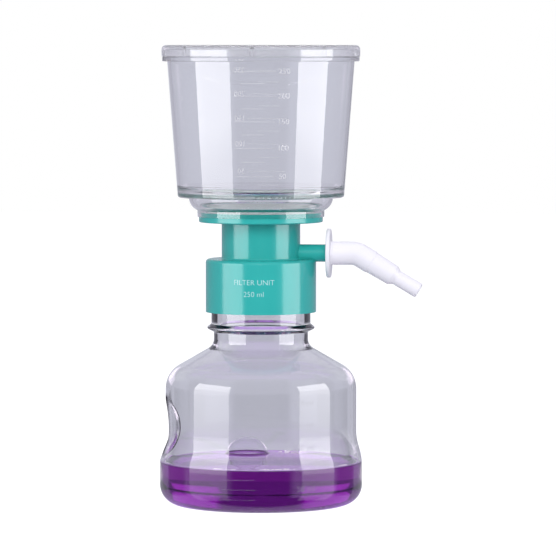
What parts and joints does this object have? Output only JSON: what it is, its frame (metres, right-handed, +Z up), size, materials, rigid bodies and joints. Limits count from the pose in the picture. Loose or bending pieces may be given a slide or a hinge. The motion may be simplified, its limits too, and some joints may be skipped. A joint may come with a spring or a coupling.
{
  "type": "vacuum filtration unit",
  "caption": "Bottle-top vacuum filtration unit: clear lidded funnel over a membrane on a screw-on filter base with a swivelling hose barb, and a receiver bottle holding filtrate.",
  "frame": {"origin": "centre of the bottle's standing ring, on the surface that it stands on", "axes": "+Z up along the unit's own axis; +X along the vacuum port"},
  "size_m": [0.1157, 0.0892, 0.202],
  "materials": {
    "clear_polystyrene": "clear and glossy",
    "purple_filtrate": "clear purple liquid",
    "seal_silicone": "matt",
    "teal_plastic": "smooth moulded",
    "porous_plug": "porous",
    "white_plastic": "smooth moulded",
    "filter_membrane": "matt"
  },
  "bodies": {
    "receiver": {"bottle": "clear_polystyrene", "liquid": "purple_filtrate"},
    "seal": {"neck_seal": "seal_silicone"},
    "filter_head": {"filter_base": "teal_plastic", "port_plug": "porous_plug", "membrane": "filter_membrane", "funnel": "clear_polystyrene"},
    "hose_connector": {"hose_barb": "white_plastic"},
    "lid": {"lid": "clear_polystyrene"}
  },
  "joints": [
    {"name": "thread_lift", "type": "slide", "parent": "receiver", "child": "seal", "axis": [0, 0, 1], "range_m": [0, 0.00961]},
    {"name": "collar_turn", "type": "hinge", "parent": "seal", "child": "filter_head", "pos_m": [0, 0, 0.1049], "axis": [0, 0, 1], "range_deg": [0, 864]},
    {"name": "barb_swivel", "type": "hinge", "parent": "filter_head", "child": "hose_connector", "pos_m": [0.0291, 0, 0.1108], "axis": [1, 0, 0], "continuous": true},
    {"name": "lid_lift", "type": "slide", "parent": "filter_head", "child": "lid", "axis": [0, 0, 1], "range_m": [0, 0.02]}
  ],
  "couplings": [
    {"joint": "thread_lift", "follows": "collar_turn", "m_per_rad": 0.00063662}
  ]
}
